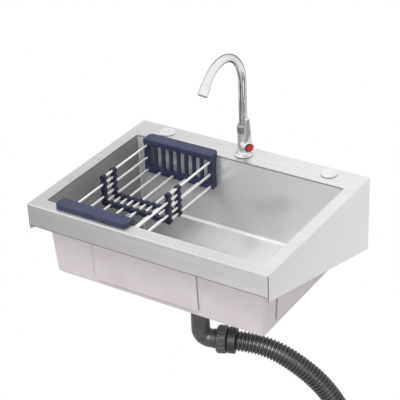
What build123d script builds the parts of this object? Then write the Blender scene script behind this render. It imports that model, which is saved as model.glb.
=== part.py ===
from build123d import *
import os
from math import cos, radians, sin, tan

# Utility sink for a wall: a folded steel deck with a tapered bowl, a swivel tap, a ribbed
# waste hose and a drainer that telescopes from rim to rim.
# Millimetres. X runs to the right, Y to the wall, Z up. The origin lies on the wall,
# in the middle of the four wall bolts.

# Clearances
SLIDE_GAP = 0.3
FIT_GAP = 0.1
BOND_GAP = 0.1

# Deck and side panels, folded from sheet
DECK_W = 550.0
DECK_D = 420.0
SHEET = 1.2
FOLD_R = 1.8
FRONT_RIM = 30.0
BACK_RIM = 66.0
SIDE_RIM = 25.0
APRON_H = 50.0
APRON_HEM = 14.0
BACK_FLANGE_H = 25.0
SIDE_H_FRONT = 57.0
SIDE_H_REAR = 170.0
SIDE_FLANGE = 11.0
SIDE_HEM = 14.0
SIDE_HEM_SETBACK = 60.0
WALL_FLANGE = 26.0
PANEL_GAP = 0.3

# Wall bolts
BOLT_D = 9.0
BOLT_INSET = 13.0
BOLT_TOP_DROP = 45.0
BOLT_SPACING_Z = 100.0

# Bowl, its coating and its sound pads
BOWL_DEPTH = 167.0
BOWL_TAPER = 9.0
CORNER_R = 6.0
FLOOR_R = 5.5
COAT_T = 2.0
COAT_TOP_GAP = 0.5
PAD_T = 2.5
PAD_EDGE_R = 1.2
PAD_CORNER_R = 10.0
PAD_TOP_DROP = 30.0
PAD_BOTTOM_DROP = 157.0
PAD_FRONT_W = 246.0
PAD_FRONT_SHIFT = -22.0
PAD_SIDE_W = 228.0

# Basket waste in the middle of the bowl
WASTE_HOLE_D = 88.0
FLANGE_D = 112.0
FLANGE_T = 1.8
FLANGE_EDGE_T = 0.6
FLANGE_BEVEL = 3.6
CUP_D = 84.0
CUP_WALL = 1.5
CUP_DEPTH = 58.0
LEDGE_DROP = 20.0
LEDGE_W = 4.0
GASKET_T = 3.0
LOCKNUT_D = 108.0
LOCKNUT_H = 12.0
LOCKNUT_LUGS = 8
LOCKNUT_GROOVE_D = 12.0
LOCKNUT_GROOVE = 3.0
SPIGOT_D = 46.0
SPIGOT_BORE = 35.0
SPIGOT_L = 16.0
BASKET_H = 26.0
BASKET_WALL = 1.2
BASKET_HOLE_D = 5.0
BASKET_HOLE_RING = 42.0
BASKET_HOLES = 12
KNOB_STEM_D = 8.0
KNOB_STEM_H = 14.0
KNOB_D = 16.0
KNOB_FLARE_H = 4.2
KNOB_CROWN_D = 10.6
KNOB_CROWN_H = 4.2

# Waste elbow and its nuts
PIPE_D = 40.0
PIPE_WALL = 2.5
OUTLET_WASHER_T = 2.0
OUTLET_COLLAR_H = 4.0
OUTLET_NUT_D = 58.0
OUTLET_NUT_LIP = 4.0
OUTLET_NUT_GRIP = 12.0
NUT_FLUTES = 12
NUT_FLUTE_D = 7.0
NUT_FLUTE = 1.7
ELBOW_DROP = 181.5
ELBOW_R = 23.0
LEG_TURN = 20.0
LEG_L = 48.0
LEG_THREAD_D = 50.0
LEG_THREAD_L = 12.0
LEG_RING_D = 42.0
LEG_RING_W = 1.6
LEG_RING_PITCH = 3.6
LEG_RINGS = 2
SEAL_T = 2.0
UNION_D = 61.0
UNION_LIP = 4.0
UNION_CHAMFER = 2.5
UNION_BAND = 6.0

# Ribbed hose: its route lies in the upright plane of the elbow's leg. Each point is the distance
# past the elbow's seal and the height over the leg's axis.
HOSE_D = 44.0
HOSE_ROOT_D = 37.6
HOSE_BORE = 32.0
HOSE_COLLAR_T = 3.0
HOSE_NECK_D = 43.0
HOSE_CUFF_D = 57.0
HOSE_CUFF_L = 22.0
HOSE_CUFF_BEVEL = 3.0
HOSE_END_D = 43.0
HOSE_END_L = 12.0
RIB_PITCH_FIRST = 7.4
RIB_PITCH_LAST = 8.8
RIB_FLAT = 0.35
ROUTE_ARC = 0.45
HOSE_ROUTE = [(0, 0), (56, 0), (112, -17), (155, -45), (199, -82.5), (236, -131.5), (262, -190.5),
              (277, -254.5), (282, -322.5), (282, -388.5)]
TAIL_D = 50.0
TAIL_PLUG_D = 40.0
TAIL_SLEEVE_L = 18.0
TAIL_L = 52.0
TAIL_CHAMFER = 2.5

# Holes in the back rim
HOLE_ROW_Y = -36.0
TAP_HOLE_D = 23.0
COVER_HOLE_D = 25.0
COVER_ROW_Y = -28.0
COVER_INSET = 79.0

# Tap: heights over the deck
TAP_GASKET_T = 1.2
TAP_GASKET_D = 35.0
TAP_FLANGE_D = 38.0
TAP_FLANGE_H = 3.5
TAP_FLANGE_EDGE = 0.9
TAP_FOOT_D = 29.0
TAP_FOOT_H = 5.0
BARREL_D = 25.0
BARREL_TOP = 54.0
NECK_D = 22.0
NECK_H = 10.0
SHANK_D = 20.9
SHANK_BORE = 13.0
SHANK_INSERT = 10.0
SHANK_DROP = 52.0
RELIEF_W = 1.5
RELIEF_DEPTH = 0.6
RELIEF_GAP = 1.8
TAP_WASHER_D = 38.0
TAP_WASHER_T = 2.0
TAP_NUT_D = 34.0
TAP_NUT_H = 8.0
VALVE_Z = 28.0
VALVE_ANGLE = 55.0
BOSS_D = 22.0
BOSS_END = 16.0
CARTRIDGE_D = 16.0
CARTRIDGE_L = 11.0
STEM_D = 6.0
STEM_SEAT = 9.0
STEM_GAP = 0.3

# Swivel spout
SPOUT_D = 17.0
SPOUT_WALL = 2.0
SPOUT_STRAIGHT_TOP = 168.0
SPOUT_R = 78.0
SPOUT_SWEEP = 140.0
SPOUT_TAIL_L = 10.0
SPOUT_NUT_D = 27.0
SPOUT_NUT_H = 17.0
SPOUT_NUT_FLUTES = 16
SPOUT_NUT_FLUTE_D = 3.0
SPOUT_NUT_FLUTE = 0.6
SWIVEL_RING_H = 3.0
SWIVEL_RING_W = 1.6
SPIGOT_BODY_D = 14.6
SPOUT_BORE = 10.0
SPIGOT_TAIL_L = 20.0
O_RING_T = 2.0
O_RING_Z = 8.0
O_RING_PITCH = 6.0
AERATOR_D = 20.0
AERATOR_L = 21.0
AERATOR_GRIP = 8.0
AERATOR_LIP = 1.2
AERATOR_INSERT_H = 5.0
AERATOR_HOLE_D = 2.2
AERATOR_HOLES = 8
AERATOR_HOLE_RING = 8.5

# Lever handle
HUB_D = 25.0
HUB_L = 11.0
CAP_D = 19.0
CAP_H = 2.6
CAP_CROWN = 1.2
CAP_EDGE = 0.6
CAP_FLAT_D = 9.5
HUB_WEB = 2.5
LEVER_L = 62.0
LEVER_T = 6.5
LEVER_LIFT = 1.5
LEVER_ROOT_D = 19.0
LEVER_TIP_D = 9.0
LEVER_EDGE_R = 1.8
SCREW_HEAD_D = 7.0
SCREW_HEAD_H = 2.2
SCREW_D = 3.0
SCREW_L = 5.0

# Covers on the spare holes
COVER_D = 34.0
COVER_H = 3.6
COVER_RIM = 1.0
COVER_BEVEL = 1.5
COVER_LAND = 2.0
COVER_DISH = 0.8
COVER_GASKET_T = 0.8
COVER_STUD_D = 8.0
COVER_STUD_L = 20.0
COVER_NUT_D = 32.0
COVER_NUT_H = 5.0
COVER_NUT_GROOVE_D = 5.0
COVER_NUT_GROOVE = 1.2

# Drainer: two moulded ends, their rods and two combs
DRAINER_INSET = 30.5
END_W = 172.0
END_T = 6.0
END_DEPTH = 73.0
LIP_L = 28.0
LIP_TOP = 8.0
LIP_NOSE = 2.0
LIP_BAND = 5.5
LIP_CORNER_R = 10.0
LIP_EDGE_R = 1.8
LIP_SEAT_REAR = 8.0
LIP_SEAT_FRONT = 15.0
CHEEK_T = 3.0
CHEEK_CLEAR = 5.0
SLOT_COUNT = 8
SLOT_PITCH = 19.3
SLOT_W = 12.6
SLOT_TOP_DROP = 5.0
SLOT_BOTTOM_DROP = 56.0
SLOT_R = 1.5
ROD_D = 5.0
ROD_SPAN = 159.0
ROD_TOP_DROP = 9.0
ROD_BOTTOM_DROP = 68.0
ROD_GAPS_X = 5
ROD_GAPS_Z = 2
ROD_SEAT = 4.0
COMB_PITCH = 36.0
COMB_T = 9.0
COMB_BOSS_D = 13.0
COMB_WEB = 8.0
COMB_SEAT = 6.0

# Places that follow from the sizes above
RIM_Z = BOLT_TOP_DROP + BOLT_SPACING_Z / 2
BOWL_W = DECK_W - 2 * SIDE_RIM
BOWL_D = DECK_D - FRONT_RIM - BACK_RIM
BOWL_Y = -BACK_RIM - BOWL_D / 2
COVER_X = DECK_W / 2 - COVER_INSET
DRAINER_X = -BOWL_W / 2 + DRAINER_INSET + END_W / 2
UNDER_DECK = RIM_Z - SHEET
FLOOR_Z = RIM_Z - BOWL_DEPTH
FLOOR_UNDER = FLOOR_Z - SHEET
CUP_R = CUP_D / 2
CUP_BORE_R = CUP_R - CUP_WALL
LEDGE_R = CUP_BORE_R - LEDGE_W
LEDGE_Z = FLOOR_Z - LEDGE_DROP
CUP_Z = FLOOR_Z - CUP_DEPTH
SPIGOT_Z = CUP_Z - SPIGOT_L
PIPE_TOP = SPIGOT_Z - OUTLET_WASHER_T
ELBOW_Z = FLOOR_Z - ELBOW_DROP
LEG_DIR = Vector(cos(radians(LEG_TURN)), sin(radians(LEG_TURN)), 0)
LEG_SIDE = Vector(sin(radians(LEG_TURN)), -cos(radians(LEG_TURN)), 0)
LEG = Plane(origin=(0, BOWL_Y, ELBOW_Z), x_dir=LEG_SIDE, z_dir=LEG_DIR)
UNION_START = LEG_L - LEG_THREAD_L
HOSE_START = LEG_L + SEAL_T
UNION_SHOULDER = HOSE_START + HOSE_COLLAR_T
UNION_END = UNION_SHOULDER + UNION_LIP
TAP = Pos(0, HOLE_ROW_Y, RIM_Z)
FLANGE_TOP = TAP_GASKET_T + TAP_FLANGE_H
NECK_TOP = BARREL_TOP + NECK_H
SPOUT_NUT_TOP = BARREL_TOP + SPOUT_NUT_H
SWIVEL_Z = NECK_TOP + SLIDE_GAP
WATER_DIR = Vector(0, -sin(radians(SPOUT_SWEEP)), cos(radians(SPOUT_SWEEP)))
VALVE_DIR = Vector(sin(radians(VALVE_ANGLE)), -cos(radians(VALVE_ANGLE)), 0)
VALVE_SIDE = Vector(cos(radians(VALVE_ANGLE)), sin(radians(VALVE_ANGLE)), 0)
VALVE = Plane(origin=(0, HOLE_ROW_Y, RIM_Z + VALVE_Z), x_dir=VALVE_SIDE, z_dir=VALVE_DIR)
HUB_START = BOSS_END + SLIDE_GAP
HUB_END = HUB_START + HUB_L
STEM_START = BOSS_END - STEM_SEAT
STEM_END = HUB_END - CAP_H - SCREW_HEAD_H - HUB_WEB
REAR_LIP_Y = -BACK_RIM + LIP_SEAT_REAR
FRONT_LIP_Y = -DECK_D + FRONT_RIM - LIP_SEAT_FRONT
REAR_PANEL_Y = REAR_LIP_Y - LIP_L
FRONT_PANEL_Y = FRONT_LIP_Y + LIP_L
REAR_COMB_Y = BOWL_Y + COMB_PITCH / 2
FRONT_COMB_Y = BOWL_Y - COMB_PITCH / 2
ROD_PITCH_X = ROD_SPAN / ROD_GAPS_X
ROD_PITCH_Z = (ROD_BOTTOM_DROP - ROD_TOP_DROP) / ROD_GAPS_Z
BASE = (Align.CENTER, Align.CENTER, Align.MIN)


# Shared shapes
def bar(diameter, low, high):
    """Round bar about Z between two heights."""
    return Pos(0, 0, low) * Cylinder(diameter / 2, high - low, align=BASE)


def ring(outer_d, inner_d, low, high):
    """Ring or tube about Z between two heights."""
    return bar(outer_d, low, high) - bar(inner_d, low, high)


def turned(points):
    """Solid of revolution about Z from a closed outline of (radius, height) points."""
    return revolve(Plane.XZ * make_face(Polyline(*points, close=True)), Axis.Z)


def fluted(body, outer_d, flutes, flute_d, depth, low, high):
    """Cuts evenly spaced upright finger grooves of the given depth into a round body."""
    grooves = PolarLocations((outer_d + flute_d) / 2 - depth, flutes) * bar(flute_d, low, high)
    return body - grooves


def rounded_prism(width, depth, radius, low, high):
    """Upright prism with rounded corners about the middle of the bowl."""
    outline = Pos(0, BOWL_Y, low) * RectangleRounded(width, depth, radius)
    return extrude(outline, high - low)


def side_section(points):
    """Face in the upright plane across the sink from (y, z) points."""
    return Plane.YZ * make_face(Polyline(*points, close=True))


# Deck and side panels
def deck():
    """Top and front apron folded from one sheet, with a hem below and a flange on the wall."""
    apron_low = RIM_Z - APRON_H
    outside = FilletPolyline(
        (-DECK_D + APRON_HEM, apron_low), (-DECK_D, apron_low), (-DECK_D, RIM_Z),
        (0, RIM_Z), (0, RIM_Z - BACK_FLANGE_H), radius=FOLD_R)
    section = make_face(offset(outside, SHEET, side=Side.RIGHT))
    sheet = extrude(Plane.YZ * section, DECK_W / 2, both=True)
    opening = rounded_prism(BOWL_W, BOWL_D, CORNER_R, RIM_Z - 2 * SHEET, RIM_Z + SHEET)
    tap_hole = Pos(0, HOLE_ROW_Y) * bar(TAP_HOLE_D, RIM_Z - 2 * SHEET, RIM_Z + SHEET)
    cover_holes = [Pos(x, COVER_ROW_Y) * bar(COVER_HOLE_D, RIM_Z - 2 * SHEET, RIM_Z + SHEET)
                   for x in (-COVER_X, COVER_X)]
    wall_cut = WALL_FLANGE + PANEL_GAP
    panel_cut = SHEET + PANEL_GAP
    corner_cuts = []
    for side in (-1, 1):
        corner_cuts.append(Pos(side * (DECK_W - wall_cut) / 2, 0, UNDER_DECK - BACK_FLANGE_H)
                           * Box(wall_cut, 2 * FOLD_R, 2 * BACK_FLANGE_H))
        corner_cuts.append(Pos(side * (DECK_W - panel_cut) / 2, -DECK_D + SHEET + APRON_HEM / 2, apron_low)
                           * Box(panel_cut, APRON_HEM, 2 * FOLD_R))
    return sheet - opening - tap_hole - cover_holes - corner_cuts


def side_panel(side):
    """Trapezoid side with flanges under the deck, behind the apron and on the wall."""
    front = -DECK_D + SHEET + PANEL_GAP
    top = UNDER_DECK
    front_low = RIM_Z - SIDE_H_FRONT
    rear_low = RIM_Z - SIDE_H_REAR
    slope = (front_low - rear_low) / DECK_D
    front_edge_low = front_low - slope * (front + DECK_D)
    hem_front = front + SIDE_HEM_SETBACK
    hem_low = front_edge_low - slope * SIDE_HEM_SETBACK
    outline = [(front, front_edge_low), (front, top - FOLD_R), (front + FOLD_R, top), (0, top),
               (0, rear_low)]
    plate = extrude(side_section(outline), SHEET)
    top_flange = extrude(side_section(
        [(front + FOLD_R, top - SHEET), (front + FOLD_R, top), (0, top), (0, top - SHEET)]), SIDE_FLANGE)
    hem = extrude(side_section([(hem_front, hem_low), (hem_front, hem_low + SHEET),
                                (0, rear_low + SHEET), (0, rear_low)]), SIDE_HEM)
    flange_low = RIM_Z - APRON_H + FOLD_R
    apron_flange = extrude(side_section(
        [(front, flange_low), (front, top - FOLD_R), (front + SHEET, top - FOLD_R),
         (front + SHEET, flange_low)]), SIDE_FLANGE)
    wall_flange = extrude(side_section(
        [(-SHEET, rear_low), (-SHEET, top), (0, top), (0, rear_low)]), WALL_FLANGE)
    panel = plate + top_flange + hem + apron_flange + wall_flange
    for height in (-BOLT_SPACING_Z / 2, BOLT_SPACING_Z / 2):
        panel -= Pos(BOLT_INSET, 0, height) * Rot(X=90) * Cylinder(BOLT_D / 2, 4 * SHEET)
    panel = Pos(-DECK_W / 2, 0, 0) * panel
    if side > 0:
        panel = mirror(panel, Plane.YZ)
    return panel


# Bowl, coating and sound pads
def tub(grow):
    """Tapered tub with a rounded floor edge, grown outwards from the bowl's inside."""
    low = FLOOR_Z - grow
    top = Pos(0, BOWL_Y, RIM_Z) * RectangleRounded(
        BOWL_W + 2 * grow, BOWL_D + 2 * grow, CORNER_R + grow)
    floor = Pos(0, BOWL_Y, low) * RectangleRounded(
        BOWL_W - 2 * BOWL_TAPER + 2 * grow, BOWL_D - 2 * BOWL_TAPER + 2 * grow, CORNER_R + grow)
    body = loft([floor, top], ruled=True)
    return fillet(body.faces().sort_by(Axis.Z)[0].edges(), FLOOR_R + grow)


def below(body, height):
    """The body without what lies over the given height."""
    return split(body, Plane.XY.offset(height), keep=Keep.BOTTOM)


def bowl():
    """Pressed bowl, welded to the underside of the deck."""
    shell = below(tub(SHEET) - tub(0), UNDER_DECK)
    hole = Pos(0, BOWL_Y) * bar(WASTE_HOLE_D, FLOOR_Z - FLOOR_R, FLOOR_Z + FLOOR_R)
    return shell - hole


def bowl_coating():
    """Sprayed coat on the outside of the bowl, left off round the waste."""
    inside = SHEET + BOND_GAP
    coat = below(tub(inside + COAT_T) - tub(inside), UNDER_DECK - COAT_TOP_GAP)
    hole = Pos(0, BOWL_Y) * bar(LOCKNUT_D + 2 * COAT_T, FLOOR_Z - 2 * FLOOR_R, FLOOR_Z + FLOOR_R)
    return coat - hole


def sound_pad(width, outward, shift=0):
    """Pad with soft edges on one wall of the coated bowl; outward is the wall's direction."""
    inside = SHEET + BOND_GAP + COAT_T
    height = PAD_BOTTOM_DROP - PAD_TOP_DROP
    middle = RIM_Z - (PAD_TOP_DROP + PAD_BOTTOM_DROP) / 2
    face = Plane(origin=(0, BOWL_Y, middle), x_dir=Vector(0, 0, 1).cross(outward), z_dir=outward)
    block = extrude(face * Pos(shift) * RectangleRounded(width, height, PAD_CORNER_R), BOWL_W)
    pad = (tub(inside + PAD_T) - tub(inside)) & block
    axis = Axis((0, 0, 0), outward)
    return fillet(pad.faces().sort_by(axis)[-1].edges(), PAD_EDGE_R)


# Basket waste
def waste_flange():
    """Flanged cup with a ledge for the basket and a threaded spigot."""
    step = LEDGE_Z - CUP_WALL
    low_r = LEDGE_R + CUP_WALL
    outline = [
        (CUP_R, FLOOR_Z), (FLANGE_D / 2, FLOOR_Z), (FLANGE_D / 2, FLOOR_Z + FLANGE_EDGE_T),
        (FLANGE_D / 2 - FLANGE_BEVEL, FLOOR_Z + FLANGE_T), (CUP_BORE_R, FLOOR_Z + FLANGE_T),
        (CUP_BORE_R, LEDGE_Z), (LEDGE_R, LEDGE_Z), (LEDGE_R, CUP_Z + CUP_WALL),
        (SPIGOT_BORE / 2, CUP_Z + CUP_WALL), (SPIGOT_BORE / 2, SPIGOT_Z), (SPIGOT_D / 2, SPIGOT_Z),
        (SPIGOT_D / 2, CUP_Z), (low_r, CUP_Z), (low_r, step), (CUP_R, step)]
    return Pos(0, BOWL_Y) * turned(outline)


def waste_gasket():
    """Rubber ring under the bowl's floor."""
    return Pos(0, BOWL_Y) * ring(LOCKNUT_D, WASTE_HOLE_D, FLOOR_UNDER - GASKET_T, FLOOR_UNDER)


def waste_locknut():
    """Plastic nut with lugs that draws the cup down on the floor."""
    high = FLOOR_UNDER - GASKET_T
    low = high - LOCKNUT_H
    nut = ring(LOCKNUT_D, CUP_D + 2 * FIT_GAP, low, high)
    return Pos(0, BOWL_Y) * fluted(nut, LOCKNUT_D, LOCKNUT_LUGS, LOCKNUT_GROOVE_D, LOCKNUT_GROOVE,
                                   low, high)


def strainer_basket():
    """Perforated basket that hangs on the ledge of the cup, with a lifting knob."""
    seat = LEDGE_Z + SLIDE_GAP
    wall_r = LEDGE_R - 2 * SLIDE_GAP
    rim_r = CUP_BORE_R - 2 * SLIDE_GAP
    low = seat - BASKET_H
    inner_r = wall_r - BASKET_WALL
    knob_low = low + BASKET_WALL
    knob_wide = knob_low + KNOB_STEM_H + KNOB_FLARE_H
    knob_top = knob_wide + KNOB_CROWN_H
    outline = [
        (0, low), (wall_r, low), (wall_r, seat), (rim_r, seat), (rim_r, seat + BASKET_WALL),
        (inner_r, seat + BASKET_WALL), (inner_r, knob_low), (KNOB_STEM_D / 2, knob_low),
        (KNOB_STEM_D / 2, knob_low + KNOB_STEM_H), (KNOB_D / 2, knob_wide),
        (KNOB_CROWN_D / 2, knob_top), (0, knob_top)]
    basket = turned(outline)
    holes = PolarLocations(BASKET_HOLE_RING / 2, BASKET_HOLES) * bar(
        BASKET_HOLE_D, low - BASKET_WALL, low + 2 * BASKET_WALL)
    return Pos(0, BOWL_Y) * (basket - holes)


def outlet_washer():
    """Flat seal between the cup's spigot and the elbow's collar."""
    return Pos(0, BOWL_Y) * ring(SPIGOT_D, SPIGOT_BORE, PIPE_TOP, SPIGOT_Z)


def outlet_nut():
    """Fluted nut that holds the elbow's collar against the spigot."""
    high = SPIGOT_Z + OUTLET_NUT_GRIP
    collar_low = PIPE_TOP - OUTLET_COLLAR_H
    low = collar_low - OUTLET_NUT_LIP
    nut = bar(OUTLET_NUT_D, low, high) - bar(SPIGOT_D + 2 * FIT_GAP, collar_low, high)
    nut -= bar(PIPE_D + 2 * FIT_GAP, low, high)
    nut = fluted(nut, OUTLET_NUT_D, NUT_FLUTES, NUT_FLUTE_D, NUT_FLUTE, low + OUTLET_NUT_LIP, high)
    return Pos(0, BOWL_Y) * nut


# Elbow, union nut and hose
def waste_elbow():
    """Bent pipe with a collar on top and a threaded end on its level leg."""
    start = Vector(0, BOWL_Y, PIPE_TOP)
    corner = Vector(0, BOWL_Y, ELBOW_Z)
    path = FilletPolyline(start, corner, corner + LEG_DIR * LEG_L, radius=ELBOW_R)
    mouth = Plane(origin=start, x_dir=LEG_SIDE, z_dir=(0, 0, -1))
    pipe = sweep(mouth * Circle(PIPE_D / 2), path=path)
    collar = Pos(0, BOWL_Y) * bar(SPIGOT_D, PIPE_TOP - OUTLET_COLLAR_H, PIPE_TOP)
    thread = LEG * bar(LEG_THREAD_D, UNION_START, LEG_L)
    first_ring = UNION_START - LEG_RING_W - LEG_RINGS * LEG_RING_PITCH
    rings = [LEG * bar(LEG_RING_D, first_ring + i * LEG_RING_PITCH,
                       first_ring + i * LEG_RING_PITCH + LEG_RING_W) for i in range(LEG_RINGS)]
    bore = sweep(mouth * Circle(PIPE_D / 2 - PIPE_WALL), path=path)
    return pipe + collar + thread + rings - bore


def union_seal():
    """Flat seal between the elbow and the hose's collar."""
    return LEG * ring(LEG_THREAD_D, HOSE_BORE, LEG_L, LEG_L + SEAL_T)


def union_nut():
    """Fluted nut with a plain band that holds the hose's collar on the elbow."""
    outer_r = UNION_D / 2
    thread_r = LEG_THREAD_D / 2 + FIT_GAP
    neck_r = HOSE_NECK_D / 2 + FIT_GAP
    outline = [
        (thread_r, UNION_START), (outer_r - UNION_CHAMFER, UNION_START),
        (outer_r, UNION_START + UNION_CHAMFER), (outer_r, UNION_END - UNION_CHAMFER),
        (outer_r - UNION_CHAMFER, UNION_END), (neck_r, UNION_END),
        (neck_r, UNION_SHOULDER), (thread_r, UNION_SHOULDER)]
    return LEG * fluted(turned(outline), UNION_D, NUT_FLUTES, NUT_FLUTE_D, NUT_FLUTE,
                        UNION_START + UNION_BAND, UNION_END)


def hose_path():
    """Line of the hose: straight runs joined by arcs as large as the runs allow."""
    points = [LEG.origin + LEG_DIR * (HOSE_START + along) + Vector(0, 0, rise)
              for along, rise in HOSE_ROUTE]
    radii = []
    for before, corner, after in zip(points, points[1:], points[2:]):
        turn = radians((corner - before).get_angle(after - corner))
        shorter = min((corner - before).length, (after - corner).length)
        radii.append(ROUTE_ARC * shorter / tan(turn / 2))
    print("hose radii", [round(radius) for radius in radii])
    return FilletPolyline(*points, radius=radii)


def rib_starts(start, end):
    """Starts of the hose's ribs, whose pitch grows evenly along it, and the end of the last rib."""
    mean = (RIB_PITCH_FIRST + RIB_PITCH_LAST) / 2
    ribs = int((end - start) / mean)
    stretch = (end - start) / (ribs * mean)
    step = (RIB_PITCH_LAST - RIB_PITCH_FIRST) / ribs
    return [start + stretch * (RIB_PITCH_FIRST + step * i / 2) * i for i in range(ribs + 1)]


def waste_hose():
    """Corrugated hose with a neck and a cuff at the union nut, a collar in it and a plain end."""
    path = hose_path()
    length = path.length
    cuff_start = UNION_END - HOSE_START + FIT_GAP
    cuff_end = cuff_start + HOSE_CUFF_L
    starts = rib_starts(cuff_end, length - HOSE_END_L)
    stations = [(0, HOSE_NECK_D), (cuff_start, HOSE_NECK_D), (cuff_start + HOSE_CUFF_BEVEL, HOSE_CUFF_D),
                (cuff_end - HOSE_CUFF_BEVEL, HOSE_CUFF_D)]
    for start, end in zip(starts, starts[1:]):
        pitch = end - start
        stations += [(start, HOSE_ROOT_D), (start + pitch * RIB_FLAT, HOSE_ROOT_D),
                     (start + pitch / 2, HOSE_D), (start + pitch * (0.5 + RIB_FLAT), HOSE_D)]
    stations += [(starts[-1], HOSE_END_D), (length, HOSE_END_D)]
    circles = []
    for distance, diameter in stations:
        place = Plane(origin=path.position_at(distance / length), x_dir=LEG_SIDE,
                      z_dir=path.tangent_at(distance / length))
        circles.append(place * Circle(diameter / 2))
    hose = loft(circles, ruled=True)
    collar = LEG * bar(LEG_THREAD_D, HOSE_START, UNION_SHOULDER)
    mouth = Plane(origin=path.position_at(0), x_dir=LEG_SIDE, z_dir=LEG_DIR)
    bore = sweep(mouth * Circle(HOSE_BORE / 2), path=path)
    print("hose length", round(length, 1), "ribs", len(starts) - 1)
    return hose + collar - bore


def hose_tail():
    """Stepped rubber plug on the hose's free end, for a floor drain."""
    along, rise = HOSE_ROUTE[-1]
    end = LEG.origin + LEG_DIR * (HOSE_START + along) + Vector(0, 0, rise)
    outline = [
        (HOSE_BORE / 2, 0), (TAIL_D / 2 - TAIL_CHAMFER, 0), (TAIL_D / 2, -TAIL_CHAMFER),
        (TAIL_D / 2, -TAIL_SLEEVE_L), (TAIL_PLUG_D / 2, -TAIL_SLEEVE_L),
        (TAIL_PLUG_D / 2, -TAIL_L + TAIL_CHAMFER), (TAIL_PLUG_D / 2 - TAIL_CHAMFER, -TAIL_L),
        (HOSE_BORE / 2, -TAIL_L)]
    return Pos(*end) * turned(outline)


# Tap
def tap_gasket():
    """Rubber ring under the tap's flange."""
    return TAP * ring(TAP_GASKET_D, SHANK_D + 2 * FIT_GAP, 0, TAP_GASKET_T)


def tap_flange():
    """Pressed cover plate round the tap's foot."""
    bore_r = SHANK_D / 2 + FIT_GAP
    outline = [
        (bore_r, TAP_GASKET_T), (TAP_FLANGE_D / 2, TAP_GASKET_T),
        (TAP_FLANGE_D / 2, TAP_GASKET_T + TAP_FLANGE_EDGE),
        (TAP_FLANGE_D / 2 - TAP_FLANGE_EDGE, TAP_GASKET_T + 2 * TAP_FLANGE_EDGE),
        (TAP_FOOT_D / 2 + TAP_FLANGE_EDGE, FLANGE_TOP), (bore_r, FLANGE_TOP)]
    return TAP * turned(outline)


def tap_body():
    """Cast barrel with a threaded neck on top and a valve boss on its side."""
    barrel_r = BARREL_D / 2
    outline = [
        (0, FLANGE_TOP), (TAP_FOOT_D / 2, FLANGE_TOP), (barrel_r, FLANGE_TOP + TAP_FOOT_H),
        (barrel_r, BARREL_TOP), (NECK_D / 2, BARREL_TOP), (NECK_D / 2, NECK_TOP), (0, NECK_TOP)]
    body = TAP * turned(outline) + VALVE * bar(BOSS_D, 0, BOSS_END)
    body -= TAP * bar(SHANK_D + 2 * FIT_GAP, FLANGE_TOP, FLANGE_TOP + SHANK_INSERT)
    body -= TAP * bar(SHANK_BORE, FLANGE_TOP, VALVE_Z)
    body -= VALVE * bar(CARTRIDGE_D + 2 * FIT_GAP, BOSS_END - CARTRIDGE_L, BOSS_END)
    spigot_low = SWIVEL_Z - SPIGOT_TAIL_L - 2 * SLIDE_GAP
    body -= TAP * bar(SPIGOT_BODY_D + 2 * SLIDE_GAP, spigot_low, NECK_TOP)
    body -= TAP * bar(SPOUT_BORE, VALVE_Z, NECK_TOP)
    return body


def tap_shank():
    """Threaded inlet tube through the deck, screwed into the body, with a relief under its nut."""
    shank = ring(SHANK_D, SHANK_BORE, -SHANK_DROP, FLANGE_TOP + SHANK_INSERT)
    relief_high = -SHEET - TAP_WASHER_T - TAP_NUT_H - RELIEF_GAP
    return TAP * (shank - ring(SHANK_D + RELIEF_W, SHANK_D - 2 * RELIEF_DEPTH,
                               relief_high - RELIEF_W, relief_high))


def tap_washer():
    """Steel washer under the deck."""
    return TAP * ring(TAP_WASHER_D, SHANK_D + 2 * FIT_GAP, -SHEET - TAP_WASHER_T, -SHEET)


def tap_locknut():
    """Hexagon nut on the shank."""
    low = -SHEET - TAP_WASHER_T - TAP_NUT_H
    prism = Pos(0, 0, low) * extrude(RegularPolygon(TAP_NUT_D / 2, 6), TAP_NUT_H)
    return TAP * (prism - bar(SHANK_D + 2 * FIT_GAP, low, low + TAP_NUT_H))


def valve_cartridge():
    """Ceramic disc cartridge in the boss, bored for the stem."""
    cartridge = bar(CARTRIDGE_D, BOSS_END - CARTRIDGE_L, BOSS_END)
    return VALVE * (cartridge - bar(STEM_D + 2 * STEM_GAP, STEM_START - STEM_GAP, BOSS_END))


def valve_stem():
    """Stem that turns the discs and carries the handle, drilled for its screw."""
    stem = bar(STEM_D, STEM_START, STEM_END)
    return VALVE * (stem - bar(SCREW_D + 2 * FIT_GAP, STEM_END + HUB_WEB - SCREW_L - FIT_GAP, STEM_END))


def handle_lever():
    """Lever cast in one with its hub, which is bored for the stem and recessed for the cap."""
    hub = bar(HUB_D, HUB_START, HUB_END)
    hub = chamfer(hub.edges().group_by(Axis.Z)[-1], LEVER_EDGE_R)
    root = Circle(LEVER_ROOT_D / 2)
    tip = Pos(0, LEVER_L) * Circle(LEVER_TIP_D / 2)
    blade = extrude(make_hull(root.edges() + tip.edges()), LEVER_T)
    blade = fillet(blade.edges().group_by(Axis.Z)[-1] + blade.edges().group_by(Axis.Z)[0], LEVER_EDGE_R)
    lever = hub + Pos(0, 0, HUB_START + LEVER_LIFT) * blade
    lever -= bar(STEM_D + 2 * FIT_GAP, HUB_START, STEM_END)
    lever -= bar(SCREW_D + 2 * FIT_GAP, STEM_END, HUB_END)
    lever -= bar(SCREW_HEAD_D + 2 * FIT_GAP, HUB_END - CAP_H - SCREW_HEAD_H, HUB_END)
    lever -= bar(CAP_D + 2 * FIT_GAP, HUB_END - CAP_H, HUB_END)
    return VALVE * lever


def handle_screw():
    """Cheese-head screw that holds the handle on the stem."""
    head_low = HUB_END - CAP_H - SCREW_HEAD_H
    return VALVE * (bar(SCREW_HEAD_D, head_low, HUB_END - CAP_H)
                    + bar(SCREW_D, head_low - SCREW_L, head_low))


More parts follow.
